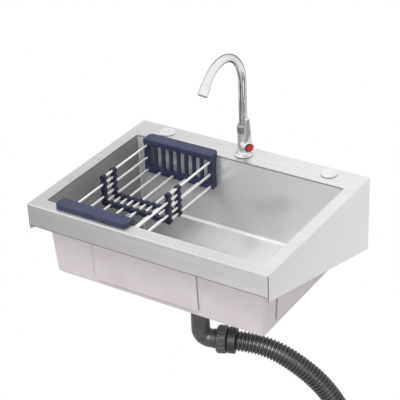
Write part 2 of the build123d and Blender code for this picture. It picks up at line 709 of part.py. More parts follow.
def index_cap():
    """Crowned cap pressed into the hub."""
    low = HUB_END - CAP_H
    outline = [
        (0, low), (CAP_D / 2, low), (CAP_D / 2, HUB_END), (CAP_D / 2 - 2 * CAP_EDGE, HUB_END + CAP_EDGE),
        (CAP_FLAT_D / 2, HUB_END + CAP_CROWN), (0, HUB_END + CAP_CROWN)]
    return VALVE * turned(outline)


# Spout
def spout_nut():
    """Fluted nut on the neck that traps the spout's swivel ring."""
    ring_high = SWIVEL_Z + SWIVEL_RING_H + SLIDE_GAP
    nut = bar(SPOUT_NUT_D, BARREL_TOP, SPOUT_NUT_TOP)
    nut = chamfer(nut.edges().group_by(Axis.Z)[-1], LEVER_EDGE_R)
    nut -= bar(NECK_D + 2 * FIT_GAP, BARREL_TOP, ring_high)
    nut -= bar(SPOUT_D + 2 * SLIDE_GAP, BARREL_TOP, SPOUT_NUT_TOP)
    return TAP * fluted(nut, SPOUT_NUT_D, SPOUT_NUT_FLUTES, SPOUT_NUT_FLUTE_D, SPOUT_NUT_FLUTE,
                        BARREL_TOP + LEVER_EDGE_R, SPOUT_NUT_TOP)


def arch_point(degrees):
    """Point on the spout's arch, over the middle of the tap hole."""
    angle = radians(degrees)
    return Vector(0, -SPOUT_R * (1 - cos(angle)), SPOUT_STRAIGHT_TOP + SPOUT_R * sin(angle))


def spout_tip():
    """End of the spout's straight tail."""
    return arch_point(SPOUT_SWEEP) + WATER_DIR * SPOUT_TAIL_L


def at_spout_end(body):
    """Sets a body that is turned about Z on the end of the spout, with Z along the water."""
    return TAP * (Plane(origin=spout_tip(), x_dir=(1, 0, 0), z_dir=WATER_DIR) * body)


def spout():
    """Bent tube with a swivel ring and a spigot grooved for two seals."""
    rise = Edge.make_line(Vector(0, 0, SWIVEL_Z), arch_point(0))
    arch = Edge.make_three_point_arc(arch_point(0), arch_point(SPOUT_SWEEP / 2), arch_point(SPOUT_SWEEP))
    tail = Edge.make_line(arch_point(SPOUT_SWEEP), spout_tip())
    path = Wire([rise, arch, tail])
    mouth = Plane(origin=(0, 0, SWIVEL_Z), x_dir=(1, 0, 0), z_dir=(0, 0, 1))
    tube = sweep(mouth * Circle(SPOUT_D / 2), path=path)
    tube += bar(SPOUT_D + 2 * SWIVEL_RING_W, SWIVEL_Z, SWIVEL_Z + SWIVEL_RING_H)
    tube -= sweep(mouth * Circle(SPOUT_D / 2 - SPOUT_WALL), path=path)
    tail_low = SWIVEL_Z - SPIGOT_TAIL_L
    spigot = bar(SPIGOT_BODY_D, tail_low, SWIVEL_Z + SWIVEL_RING_H)
    for height in o_ring_heights():
        spigot -= ring(SPIGOT_BODY_D + SPOUT_WALL, SPIGOT_BODY_D - 2 * O_RING_T + 2 * FIT_GAP,
                       height - O_RING_T / 2 - FIT_GAP, height + O_RING_T / 2 + FIT_GAP)
    return TAP * (tube + spigot - bar(SPOUT_BORE - SPOUT_WALL, tail_low, SWIVEL_Z + 2 * SWIVEL_RING_H))


def o_ring_heights():
    """Heights of the two seals on the spigot."""
    return [SWIVEL_Z - O_RING_Z - i * O_RING_PITCH for i in range(2)]


def spout_o_rings():
    """Two rubber rings in the spigot's grooves."""
    middle_r = SPIGOT_BODY_D / 2 - O_RING_T / 2 + 2 * FIT_GAP
    seal = Torus(middle_r, O_RING_T / 2)
    return [TAP * Pos(0, 0, height) * seal for height in o_ring_heights()]


def aerator_housing():
    """Sleeve on the spout's end with a lip that holds the insert."""
    sleeve = ring(AERATOR_D, SPOUT_D + 2 * FIT_GAP, -AERATOR_GRIP, AERATOR_L - AERATOR_GRIP - AERATOR_LIP)
    end = AERATOR_L - AERATOR_GRIP
    sleeve += ring(AERATOR_D, SPOUT_D - 2 * SPOUT_WALL, end - AERATOR_LIP, end)
    sleeve = chamfer(sleeve.edges().filter_by(GeomType.CIRCLE).group_by(SortBy.RADIUS)[-1], AERATOR_LIP / 2)
    return at_spout_end(sleeve)


def aerator_insert():
    """Perforated disc behind the lip."""
    high = AERATOR_L - AERATOR_GRIP - AERATOR_LIP
    disc = bar(SPOUT_D, high - AERATOR_INSERT_H, high)
    holes = PolarLocations(AERATOR_HOLE_RING / 2, AERATOR_HOLES) * bar(
        AERATOR_HOLE_D, high - AERATOR_INSERT_H, high)
    return at_spout_end(disc - holes)


# Covers on the spare holes
def hole_cover(x):
    """Pressed cover with a raised rim, a dished middle and a stud through the hole."""
    low = COVER_GASKET_T
    high = low + COVER_H
    land_r = COVER_D / 2 - COVER_BEVEL
    dish_r = land_r - COVER_LAND
    outline = [
        (0, -COVER_STUD_L), (COVER_STUD_D / 2, -COVER_STUD_L), (COVER_STUD_D / 2, low), (COVER_D / 2, low),
        (COVER_D / 2, low + COVER_RIM), (land_r, high), (dish_r, high),
        (dish_r - COVER_BEVEL, high - COVER_DISH), (0, high - COVER_DISH)]
    return Pos(x, COVER_ROW_Y, RIM_Z) * turned(outline)


def cover_gasket(x):
    """Thin rubber ring under a cover."""
    return Pos(x, COVER_ROW_Y, RIM_Z) * ring(COVER_D - 2 * COVER_RIM, COVER_HOLE_D, 0, COVER_GASKET_T)


def cover_nut(x):
    """Round plastic nut with finger grooves under the deck."""
    low = -SHEET - COVER_NUT_H
    nut = ring(COVER_NUT_D, COVER_STUD_D + 2 * FIT_GAP, low, -SHEET)
    nut = fluted(nut, COVER_NUT_D, NUT_FLUTES, COVER_NUT_GROOVE_D, COVER_NUT_GROOVE, low, -SHEET)
    return Pos(x, COVER_ROW_Y, RIM_Z) * nut


# Drainer
def rear_rod_places():
    """Places (x, z) of the rear half's rods: two columns and the bottom row."""
    left = DRAINER_X - ROD_SPAN / 2
    columns = [(x, RIM_Z - ROD_TOP_DROP - i * ROD_PITCH_Z)
               for x in (left, left + ROD_SPAN) for i in range(ROD_GAPS_Z)]
    row = [(left + i * ROD_PITCH_X, RIM_Z - ROD_BOTTOM_DROP) for i in range(ROD_GAPS_X + 1)]
    return columns + row


def front_rod_places():
    """Places (x, z) of the front half's rods, midway between the rear half's."""
    left = DRAINER_X - ROD_SPAN / 2
    columns = [(x, RIM_Z - ROD_TOP_DROP - (i + 0.5) * ROD_PITCH_Z)
               for x in (left, left + ROD_SPAN) for i in range(ROD_GAPS_Z)]
    row = [(left + (i + 0.5) * ROD_PITCH_X, RIM_Z - ROD_BOTTOM_DROP) for i in range(ROD_GAPS_X)]
    return columns + row


def level_bars(places, diameter, start, end):
    """Round bars along Y at the given places."""
    return [Pos(x, start, z) * Rot(X=-90) * Cylinder(diameter / 2, end - start, align=BASE)
            for x, z in places]


def end_moulding():
    """Slotted end with a lip over the rim. Its inner face lies at y = 0 and its lip points to +Y."""
    under = SLIDE_GAP
    outline = [
        (0, -END_DEPTH), (0, -LIP_BAND), (-LIP_NOSE, -LIP_BAND + LIP_NOSE), (-LIP_NOSE, LIP_TOP),
        (LIP_L, LIP_TOP), (LIP_L, under), (END_T, under), (END_T, -END_DEPTH)]
    body = extrude(side_section(outline), END_W / 2, both=True)
    upright = body.edges().filter_by(Axis.Z)
    body = fillet(upright.group_by(Axis.Y)[-1], LIP_CORNER_R)
    body = fillet(body.faces().sort_by(Axis.Z)[-1].edges(), LIP_EDGE_R)
    slot_h = SLOT_BOTTOM_DROP - SLOT_TOP_DROP
    slot_z = -(SLOT_BOTTOM_DROP + SLOT_TOP_DROP) / 2
    slot = extrude(Plane.XZ * Pos(0, slot_z) * RectangleRounded(SLOT_W, slot_h, SLOT_R),
                   2 * END_T, both=True)
    slots = [Pos((i - (SLOT_COUNT - 1) / 2) * SLOT_PITCH) * slot for i in range(SLOT_COUNT)]
    return body - slots


def end_cheeks():
    """Two cheeks behind the rear end, which reach back to the bowl's wall."""
    reach = LIP_L - LIP_SEAT_REAR - CHEEK_CLEAR
    cheek = Box(CHEEK_T, reach, END_DEPTH + SLIDE_GAP)
    return [Pos(side * (END_W - CHEEK_T) / 2, reach / 2, (SLIDE_GAP - END_DEPTH) / 2) * cheek
            for side in (-1, 1)]


def drainer_rear_end():
    """Rear end, with its cheeks and blind holes for its rods."""
    moulding = Pos(DRAINER_X, REAR_PANEL_Y, RIM_Z) * (end_moulding() + end_cheeks())
    return moulding - level_bars(rear_rod_places(), ROD_D, REAR_PANEL_Y, REAR_PANEL_Y + ROD_SEAT)


def drainer_front_end():
    """Front end, turned to face the rear one."""
    moulding = Pos(DRAINER_X, FRONT_PANEL_Y, RIM_Z) * Rot(Z=180) * end_moulding()
    return moulding - level_bars(front_rod_places(), ROD_D, FRONT_PANEL_Y - ROD_SEAT, FRONT_PANEL_Y)


def drainer_rear_rods():
    """Rods from the rear end to the front comb."""
    return level_bars(rear_rod_places(), ROD_D, FRONT_COMB_Y + COMB_T / 2 - COMB_SEAT,
                      REAR_PANEL_Y + ROD_SEAT)


def drainer_front_rods():
    """Rods from the front end to the rear comb."""
    return level_bars(front_rod_places(), ROD_D, FRONT_PANEL_Y - ROD_SEAT,
                      REAR_COMB_Y - COMB_T / 2 + COMB_SEAT)


def comb_blank(y):
    """U-shaped comb with a boss round every rod."""
    start = y - COMB_T / 2
    bosses = level_bars(rear_rod_places() + front_rod_places(), COMB_BOSS_D, start, start + COMB_T)
    left = DRAINER_X - ROD_SPAN / 2
    top = RIM_Z - ROD_TOP_DROP
    low = RIM_Z - ROD_BOTTOM_DROP
    webs = [Pos(x, y, (top + low) / 2) * Box(COMB_WEB, COMB_T, top - low) for x in (left, left + ROD_SPAN)]
    webs.append(Pos(DRAINER_X, y, low) * Box(ROD_SPAN, COMB_T, COMB_WEB))
    return webs[2] + webs[:2] + bosses


def drainer_rear_comb():
    """Comb on the front half's rod ends, which slides on the rear half's rods."""
    start = REAR_COMB_Y - COMB_T / 2
    guides = level_bars(rear_rod_places(), ROD_D + 2 * SLIDE_GAP, start, start + COMB_T)
    seats = level_bars(front_rod_places(), ROD_D, start, start + COMB_SEAT)
    return comb_blank(REAR_COMB_Y) - guides - seats


def drainer_front_comb():
    """Comb on the rear half's rod ends, which slides on the front half's rods."""
    start = FRONT_COMB_Y - COMB_T / 2
    guides = level_bars(front_rod_places(), ROD_D + 2 * SLIDE_GAP, start, start + COMB_T)
    seats = level_bars(rear_rod_places(), ROD_D, start + COMB_T - COMB_SEAT, start + COMB_T)
    return comb_blank(FRONT_COMB_Y) - guides - seats


# Every piece under its node's name; a list is a group of equal pieces
NODES = {
    "deck": deck(),
    "side_panel_left": side_panel(-1),
    "side_panel_right": side_panel(1),
    "bowl": bowl(),
    "bowl_coating": bowl_coating(),
    "sound_pad_front": sound_pad(PAD_FRONT_W, Vector(0, -1, 0), PAD_FRONT_SHIFT),
    "sound_pad_rear": sound_pad(PAD_FRONT_W, Vector(0, 1, 0)),
    "sound_pad_left": sound_pad(PAD_SIDE_W, Vector(-1, 0, 0)),
    "sound_pad_right": sound_pad(PAD_SIDE_W, Vector(1, 0, 0)),
    "waste_flange": waste_flange(),
    "waste_gasket": waste_gasket(),
    "waste_locknut": waste_locknut(),
    "strainer_basket": strainer_basket(),
    "outlet_washer": outlet_washer(),
    "outlet_nut": outlet_nut(),
    "waste_elbow": waste_elbow(),
    "union_seal": union_seal(),
    "union_nut": union_nut(),
    "waste_hose": waste_hose(),
    "hose_tail": hose_tail(),
    "tap_gasket": tap_gasket(),
    "tap_flange": tap_flange(),
    "tap_body": tap_body(),
    "tap_shank": tap_shank(),
    "tap_washer": tap_washer(),
    "tap_locknut": tap_locknut(),
    "valve_cartridge": valve_cartridge(),
    "valve_stem": valve_stem(),
    "handle_lever": handle_lever(),
    "handle_screw": handle_screw(),
    "index_cap": index_cap(),
    "spout_nut": spout_nut(),
    "spout": spout(),
    "spout_o_rings": spout_o_rings(),
    "aerator_housing": aerator_housing(),
    "aerator_insert": aerator_insert(),
    "hole_cover_left": hole_cover(-COVER_X),
    "hole_cover_right": hole_cover(COVER_X),
    "cover_gaskets": [cover_gasket(-COVER_X), cover_gasket(COVER_X)],
    "cover_nuts": [cover_nut(-COVER_X), cover_nut(COVER_X)],
    "drainer_rear_end": drainer_rear_end(),
    "drainer_front_end": drainer_front_end(),
    "drainer_rear_rods": drainer_rear_rods(),
    "drainer_front_rods": drainer_front_rods(),
    "drainer_rear_comb": drainer_rear_comb(),
    "drainer_front_comb": drainer_front_comb(),
}

os.makedirs("parts", exist_ok=True)
for name, shape in NODES.items():
    if isinstance(shape, list):
        shape = Compound(children=shape)
    export_step(shape, os.path.join("parts", name + ".step"))
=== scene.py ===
from math import cos, pi, radians, sin, sqrt

import bpy
from mathutils import Matrix, Vector


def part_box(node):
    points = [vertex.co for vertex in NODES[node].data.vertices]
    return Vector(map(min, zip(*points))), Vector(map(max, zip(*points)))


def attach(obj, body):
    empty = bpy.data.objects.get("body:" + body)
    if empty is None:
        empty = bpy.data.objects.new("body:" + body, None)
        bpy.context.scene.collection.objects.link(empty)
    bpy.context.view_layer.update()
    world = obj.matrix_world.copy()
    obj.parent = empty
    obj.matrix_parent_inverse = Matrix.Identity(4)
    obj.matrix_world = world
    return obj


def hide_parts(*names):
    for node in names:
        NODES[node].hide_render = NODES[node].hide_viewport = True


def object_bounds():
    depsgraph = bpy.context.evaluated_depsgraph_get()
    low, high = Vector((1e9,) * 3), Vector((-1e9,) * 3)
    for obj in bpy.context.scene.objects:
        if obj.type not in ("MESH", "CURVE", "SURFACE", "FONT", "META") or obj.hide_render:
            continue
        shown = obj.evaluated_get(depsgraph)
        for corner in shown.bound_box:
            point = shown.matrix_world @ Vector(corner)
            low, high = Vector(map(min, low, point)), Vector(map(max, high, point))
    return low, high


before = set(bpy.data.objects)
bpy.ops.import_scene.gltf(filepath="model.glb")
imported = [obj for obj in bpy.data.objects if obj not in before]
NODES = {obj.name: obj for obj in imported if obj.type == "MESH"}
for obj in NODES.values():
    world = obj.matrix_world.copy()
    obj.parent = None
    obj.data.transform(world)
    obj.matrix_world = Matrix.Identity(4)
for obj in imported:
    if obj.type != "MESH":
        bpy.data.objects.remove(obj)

# Utility sink for a wall, dressed in its finishes. Metres, in the frame of the solids:
# X to the right, Y to the wall, Z up, with the origin in the middle of the wall bolts.
CAD_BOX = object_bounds()
MM = 0.001

# Camera of the photograph: its place, and the way it looks down and across, with a slight roll
CAMERA_PLACE = Vector((1.3502, -2.2985, 1.5041))
CAMERA_AZIMUTH = radians(32.904)
CAMERA_ELEVATION = radians(29.920)
CAMERA_ROLL = radians(-2.216)
CAMERA_LENS_MM = 128.12
SENSOR_MM = 36.0

# Ribbed hose: it leaves the elbow's level leg and falls in that leg's upright plane.
# Each point is the distance past the seal and the height over the leg's axis.
ELBOW_CORNER = Vector((0.0, -0.228, -0.2535))
LEG_TURN = radians(20.0)
LEG_AXIS = Vector((cos(LEG_TURN), sin(LEG_TURN), 0.0))
HOSE_START = 50 * MM
HOSE_ROUTE = [(0.0, 0.0), (0.056, 0.0), (0.112, -0.017), (0.155, -0.045), (0.199, -0.0825),
              (0.236, -0.1315), (0.262, -0.1905), (0.277, -0.2545), (0.282, -0.3225), (0.282, -0.3885)]
HOSE_CURVE_ORDER = 3
HOSE_CURVE_STEPS = 24
HOSE_CREST_D = 44 * MM
HOSE_ROOT_D = 37.6 * MM
HOSE_NECK_D = 43 * MM
HOSE_NECK_LENGTH = 7.1 * MM
HOSE_CUFF_D = 57 * MM
HOSE_CUFF_LENGTH = 22 * MM
HOSE_BEVEL = 3 * MM
HOSE_END_D = 43 * MM
HOSE_END_LENGTH = 12 * MM
RIB_PITCH_FIRST = 7.4 * MM
RIB_PITCH_LAST = 8.8 * MM
RIB_PHASE = 0.575
RIB_STEP = 0.5 * MM
RIB_SIDES = 64
# Share of the wave, up and down from its middle, that a rib's flank takes; beyond it the rib is flat
RIB_FLANK = 0.55

# Threads on the tap's shank and the covers' studs
THREAD_PITCH = 1.8 * MM
THREAD_RIDGE = 0.42 * MM
THREAD_END_GAP = 1 * MM
THREAD_TURN_POINTS = 36
THREAD_SIDES = 6
SHANK_THREAD_TOP_DROP = 12.8 * MM
STUD_D = 8 * MM
STUD_THREAD_PITCH = 1.25 * MM
STUD_THREAD_RIDGE = 0.3 * MM
STUD_FREE_LENGTH = 12.5 * MM

# Wire screen in the aerator's mouth, at the end of the spout's sweep
SPOUT_SWEEP = radians(140.0)
SCREEN_PITCH = 1.1 * MM
SCREEN_WIRE_D = 0.26 * MM
SCREEN_WIRE_SIDES = 6
SCREEN_RADIUS = 6.4 * MM
SCREEN_INSET = 0.6 * MM

# Seam of the elbow's mould, round the middle of its bend
ELBOW_BEND_R = 23 * MM
ELBOW_PIPE_D = 40 * MM
ELBOW_SEAM_R = 0.5 * MM
ELBOW_SEAM_POINTS = 96
ELBOW_SEAM_SIDES = 8

# Lines of painted shade along the sheet's seams and hem at the front, along the weld under the rim and round
# the pads
SEAM_LINE = 1.2 * MM
HEM_LINE = 2.6 * MM
FRONT_DEPTH = 1 * MM
WELD_LINE = 3 * MM
PAD_LINE = 1.6 * MM

# Brushed sheet: length and width of its scratches and broad bands, in millimetres, and the bands' part
SCRATCH_MM = (55, 1.4)
BAND_MM = (380, 11)
BAND_SHARE = 0.3
SHEET_ROUGH = (0.27, 0.36)

# Bowl: how far a face has to look sideways or up to be an end wall or the floor, and the range of looking
# up that makes the fold between them. Ends are hazier and darkened by painted shade, the floor sleeker, and
# the fold a painted highlight.
END_FACING = 0.7
FLOOR_FACING = 0.7
FOLD_FACING = (0.2, 0.96)
BOWL_ROUGH = (0.18, 0.23)
END_ROUGHER = 0.28
FLOOR_ROUGHER = -0.07
WALL_METALLIC = 0.45
FLOOR_METALLIC = 0.82
FOLD_METALLIC_SHARE = 0.2
# Painted shade on the bowl's floor: full left of the first place, gone right of the second
LEFT_SHADE_REACH = (-110 * MM, 0.0)

# Other finishes: patterns by their size along X, Y and Z in millimetres, and the roughness they lead
HAZE_MM = (6, 24, 6)
FINGER_FILM_MM = (18, 18, 18)
FINGER_FILM_REACH = (0.45, 0.75)
CHROME_ROUGH = (0.02, 0.06)
LATHE_RING_MM = (60, 60, 0.7)
BRASS_ROUGH = (0.22, 0.38)
COAT_CLOUD_MM = (90, 90, 60)
COAT_PEEL_MM = (3.2, 3.2, 3.2)
PLASTIC_CLOUD_MM = (28, 28, 28)
PLASTIC_GRAIN_MM = (0.9, 0.9, 0.9)
PLASTIC_ROUGH_SPREAD = 0.06
RUBBER_DUST_MM = (5, 5, 5)
CAP_DEPTH_MM = (7, 7, 7)
CAP_RIM_REACH = (6.2 * MM, 7.6 * MM)
# Height on a rib where the painted light of its crest starts and where it is full, as shares of the rib, and
# the roughness of groove and crest
CREST_REACH = (0.1, 0.9)
HOSE_ROUGH = (0.5, 0.36)

# Studio
FLOOR_GAP = 6 * MM
FLOOR_SIZE = 12.0
AMBIENT = 0.8
WHITE = (1, 1, 1, 1)
SINK_MIDDLE = Vector((0.0, -0.22, 0.0))
HOSE_MIDDLE = Vector((0.2, -0.15, -0.35))
# Cards that bright metal mirrors: place, width and height, and the hex values of the left and right sides
CARDS = {
    "apron_flag": ((-0.5, -1.2, -0.42), (1.8, 0.6), ("#ffffff", "#a6a6a6")),
    "deck_flag": ((-1.35, 1.25, 1.05), (1.2, 0.9), ("#a0a0a0", "#f4f4f4")),
    "left_flag": ((-1.08, -0.9, -0.5), (0.7, 0.45), ("#000000", "#000000")),
    "right_flag": ((1.25, 0.15, -0.5), (0.75, 0.45), ("#000000", "#000000")),
}
KEY_PLACE = (-0.9, -1.2, 2.0)
KEY_SIZE = 1.0
KEY_POWER = 28.0
GLINT_PLACE = (1.28, -1.82, 1.32)
GLINT_SIZE = 0.8
GLINT_POWER = 160.0

# Kinds of node that come up most, and the places of a Mix node's inputs
MATH = "ShaderNodeMath"
MAP_RANGE = "ShaderNodeMapRange"
MIX = "ShaderNodeMix"
BUMP = "ShaderNodeBump"
SPLIT = "ShaderNodeSeparateXYZ"
COORDINATES = "ShaderNodeTexCoord"
CIRCLE = "GeometryNodeCurvePrimitiveCircle"
SWEEP = "GeometryNodeCurveToMesh"
NUMBER_A, NUMBER_B = 2, 3
COLOUR_A, COLOUR_B = 6, 7
# Range that holds most values of a noise pattern
MIDDLE = (0.3, 0.7)


# Colour and node helpers
def colour(code):
    """Linear RGBA of an sRGB hex value."""
    shares = [int(code[i:i + 2], 16) / 255 for i in (1, 3, 5)]
    return [s / 12.92 if s <= 0.04045 else ((s + 0.055) / 1.055) ** 2.4 for s in shares] + [1.0]


def per_metre(size_mm):
    """Pattern scale whose features have the given size in millimetres."""
    return 1000.0 / size_mm


def wire(tree, node, inputs):
    """Sets a node's inputs, by name or in their order: each is a value, or a node or an output to link."""
    for socket, value in inputs.items() if isinstance(inputs, dict) else enumerate(inputs):
        if isinstance(value, bpy.types.Node):
            value = next(output for output in value.outputs if output.enabled)
        if isinstance(value, bpy.types.NodeSocket):
            tree.links.new(value, node.inputs[socket])
        else:
            node.inputs[socket].default_value = value


def add(tree, kind, inputs=(), **settings):
    """Adds a node with its settings and inputs."""
    made = tree.nodes.new(kind)
    for name, value in settings.items():
        setattr(made, name, value)
    wire(tree, made, inputs)
    return made


def new_finish(name, **values):
    """New material with uniform values on its shader; returns it, its tree and its shader."""
    finish = bpy.data.materials.new(name)
    finish.use_nodes = True
    tree = finish.node_tree
    shader = tree.nodes["Principled BSDF"]
    wire(tree, shader, {socket.replace("_", " "): value for socket, value in values.items()})
    return finish, tree, shader


def patches(tree, place, size_mm, detail=2.0):
    """Uneven pattern whose patches have the given size in millimetres along X, Y and Z."""
    scaled = add(tree, "ShaderNodeMapping", {"Vector": place, "Scale": [per_metre(s) for s in size_mm]})
    return add(tree, "ShaderNodeTexNoise", {"Vector": scaled, "Scale": 1.0, "Detail": detail}).outputs["Fac"]


def running(axis, length, width):
    """Sizes along X, Y and Z of marks that run along one axis."""
    return [length if name == axis else width for name in "XYZ"]


def tint(tree, pattern, dark, light, reach=MIDDLE):
    """Colour between two hex values, led by a pattern between the two values of its reach."""
    share = add(tree, MAP_RANGE, (pattern, *reach, 0.0, 1.0))
    return add(tree, MIX, {0: share, COLOUR_A: colour(dark), COLOUR_B: colour(light)}, data_type="RGBA")


def box_middle(node):
    """Middle of a node's box."""
    low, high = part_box(node)
    return (low + high) / 2


# Finishes
def brushed_stainless(name, node, along, dark, light):
    """Stainless sheet, belt-brushed: long fine scratches that stretch its reflections across them.
    The real scratches are about 0.1 mm wide, drawn here some 1.4 mm wide so that they show.
    A dark line of painted shade marks the seams and the hem at the front."""
    finish, tree, shader = new_finish(name, Metallic=1.0, Anisotropic=0.55)
    place = add(tree, COORDINATES).outputs["Object"]
    scratches = patches(tree, place, running(along, *SCRATCH_MM))
    bands = patches(tree, place, running(along, *BAND_MM), detail=1.0)
    both = add(tree, MIX, {0: BAND_SHARE, NUMBER_A: scratches, NUMBER_B: bands})
    low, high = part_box(node)
    spot = add(tree, SPLIT, (place,)).outputs
    on_hem = add(tree, MATH, (spot["Z"], low.z + HEM_LINE), operation="LESS_THAN")
    from_middle = add(tree, MATH, (spot["X"],), operation="ABSOLUTE")
    on_seam = add(tree, MATH, (from_middle, high.x - SEAM_LINE), operation="GREATER_THAN")
    on_line = add(tree, MATH, (on_hem, on_seam), operation="MAXIMUM")
    in_front = add(tree, MATH, (spot["Y"], low.y + FRONT_DEPTH), operation="LESS_THAN")
    # Painted shade: a dark line along the seams and the hem at the front, mixed into the steel's colour
    painted_seam_shade = add(tree, MATH, (on_line, in_front), operation="MULTIPLY")
    steel = tint(tree, both, dark, light)
    wire(tree, shader, {
        "Base Color": add(tree, MIX, {0: painted_seam_shade, COLOUR_A: steel, COLOUR_B: colour("#82807f")},
                          data_type="RGBA"),
        "Roughness": add(tree, MAP_RANGE, (both, *MIDDLE, *SHEET_ROUGH)),
        "Tangent": add(tree, "ShaderNodeCombineXYZ", {along: 1.0}),
        "Normal": add(tree, BUMP, {"Height": scratches, "Distance": 0.03 * MM, "Strength": 0.12})})
    return finish


def bowl_stainless():
    """Bowl sheet brushed along each wall: scratches run along X on the floor and the long walls
    and along Y on the short ones, which are rougher and darkened by painted shade. Drawn as coarse as those
    of the deck. Painted shade darkens the floor's left side, where the drainer stands, a line of painted
    shade runs on top, and the fold between floor and walls carries a painted highlight."""
    finish, tree, shader = new_finish("brushed_stainless_bowl")
    coordinates = add(tree, COORDINATES).outputs
    place = coordinates["Object"]
    facing = add(tree, SPLIT, (coordinates["Normal"],)).outputs
    sideways = add(tree, MATH, (facing["X"],), operation="ABSOLUTE")
    on_end = add(tree, MATH, (sideways, END_FACING), operation="GREATER_THAN")
    on_floor = add(tree, MATH, (facing["Z"], FLOOR_FACING), operation="GREATER_THAN")
    off_wall = add(tree, MATH, (facing["Z"], FOLD_FACING[0]), operation="GREATER_THAN")
    off_level = add(tree, MATH, (facing["Z"], FOLD_FACING[1]), operation="LESS_THAN")
    on_fold = add(tree, MATH, (off_wall, off_level), operation="MULTIPLY")
    along_x = patches(tree, place, running("X", *SCRATCH_MM))
    along_y = patches(tree, place, running("Y", *SCRATCH_MM))
    scratches = add(tree, MIX, {0: on_end, NUMBER_A: along_x, NUMBER_B: along_y})

    spot = add(tree, SPLIT, (place,)).outputs
    # Painted shade: the floor's left side is darkened in colour
    to_left = add(tree, MAP_RANGE, (spot["X"], *LEFT_SHADE_REACH, 1.0, 0.0))
    film_and_painted_shade = add(tree, MATH, (to_left, on_floor), operation="MULTIPLY")
    # Painted shade: a dark line just under the rim
    weld_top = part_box("bowl")[1].z
    weld_shade = add(tree, MAP_RANGE, (spot["Z"], weld_top - WELD_LINE, weld_top, 0.0, 1.0))
    steel = tint(tree, scratches, "#f2f2f2", "#fafafa")
    # Painted shade: the end walls take this darker steel colour
    painted_end_shade = tint(tree, scratches, "#a4a4a4", "#aeaeae")
    # The fold's white layer is a painted highlight, and less metal on the fold lets it show
    for share, layer in ((film_and_painted_shade, colour("#cccccc")), (on_end, painted_end_shade), (on_fold, colour("#ffffff")),
                         (weld_shade, colour("#6a6a69"))):
        steel = add(tree, MIX, {0: share, COLOUR_A: steel, COLOUR_B: layer}, data_type="RGBA")

    flat_metal = add(tree, MIX, {0: on_floor, NUMBER_A: WALL_METALLIC, NUMBER_B: FLOOR_METALLIC})
    fold_share = add(tree, MIX, {0: on_fold, NUMBER_A: 1.0, NUMBER_B: FOLD_METALLIC_SHARE})
    rough = add(tree, MAP_RANGE, (scratches, *MIDDLE, *BOWL_ROUGH))
    for share, rougher in ((on_end, END_ROUGHER), (on_floor, FLOOR_ROUGHER)):
        rough = add(tree, MATH, (share, rougher, rough), operation="MULTIPLY_ADD")
    wire(tree, shader, {
        "Base Color": steel, "Roughness": rough,
        "Metallic": add(tree, MATH, (flat_metal, fold_share), operation="MULTIPLY"),
        "Normal": add(tree, BUMP, {"Height": scratches, "Distance": 0.02 * MM, "Strength": 0.022})})
    return finish


def drawn_stainless(name, light, rough, metallic=1.0):
    """Steel wire, pressing or knurling, drawn or tumbled smooth: bright, with a faint cloudy haze."""
    finish, tree, shader = new_finish(name, Base_Color=colour(light), Metallic=metallic)
    haze = patches(tree, add(tree, COORDINATES).outputs["Object"], HAZE_MM)
    wire(tree, shader, {"Roughness": add(tree, MAP_RANGE, (haze, *MIDDLE, *rough))})
    return finish


def chrome_plate(name, metallic):
    """Bright chrome over brass: a cool mirror that darkens towards its outline, softened a little where
    fingers and water dry on it. Less than full metal stands for a dried film that catches the light."""
    finish, tree, shader = new_finish(name, Base_Color=colour("#eceeef"), Metallic=metallic,
                                      Specular_Tint=colour("#080808"))
    film_and_painted_shade = patches(tree, add(tree, COORDINATES).outputs["Object"], FINGER_FILM_MM, detail=3.0)
    wire(tree, shader, {"Roughness": add(tree, MAP_RANGE, (film_and_painted_shade, *FINGER_FILM_REACH, *CHROME_ROUGH))})
    return finish


def turned_brass():
    """Brass turned on a lathe: warm metal with fine rings round the axis."""
    finish, tree, shader = new_finish("turned_brass", Metallic=1.0)
    rings = patches(tree, add(tree, COORDINATES).outputs["Object"], LATHE_RING_MM)
    wire(tree, shader, {"Base Color": tint(tree, rings, "#b08d4a", "#cfae6b"),
                        "Roughness": add(tree, MAP_RANGE, (rings, *MIDDLE, *BRASS_ROUGH))})
    return finish


def pad_edge(tree, place, pad, across):
    """1 within a line's width of a sound pad's lower edge and its two ends."""
    low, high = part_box(pad)
    axis = "XYZ".index(across)
    spot = add(tree, SPLIT, (place,)).outputs
    first_end = add(tree, MATH, (spot[across], low[axis] + PAD_LINE), operation="LESS_THAN")
    second_end = add(tree, MATH, (spot[across], high[axis] - PAD_LINE), operation="GREATER_THAN")
    at_end = add(tree, MATH, (first_end, second_end), operation="MAXIMUM")
    at_foot = add(tree, MATH, (spot["Z"], low.z + PAD_LINE), operation="LESS_THAN")
    return add(tree, MATH, (at_end, at_foot), operation="MAXIMUM")


def sprayed_coat(pad=None, across=None):
    """Anti-condensation coat sprayed on the bowl: chalky pinkish white with a soft orange peel.
    Over a sound pad, a fine line of painted shade marks the pad's lower edge and its two ends."""
    name = "sprayed_coat_" + pad if pad else "sprayed_coat"
    finish, tree, shader = new_finish(name, Roughness=0.62, IOR=1.48)
    place = add(tree, COORDINATES).outputs["Object"]
    coat = tint(tree, patches(tree, place, COAT_CLOUD_MM, detail=3.0), "#d9d0d1", "#e2dadb")
    if pad:
        # Painted shade: a darker line round the pad's edge
        coat = add(tree, MIX, {0: pad_edge(tree, place, pad, across), COLOUR_A: coat,
                               COLOUR_B: colour("#a89e9f")}, data_type="RGBA")
    peel = patches(tree, place, COAT_PEEL_MM)
    wire(tree, shader, {
        "Base Color": coat,
        "Normal": add(tree, BUMP, {"Height": peel, "Distance": 0.25 * MM, "Strength": 0.3})})
    return finish


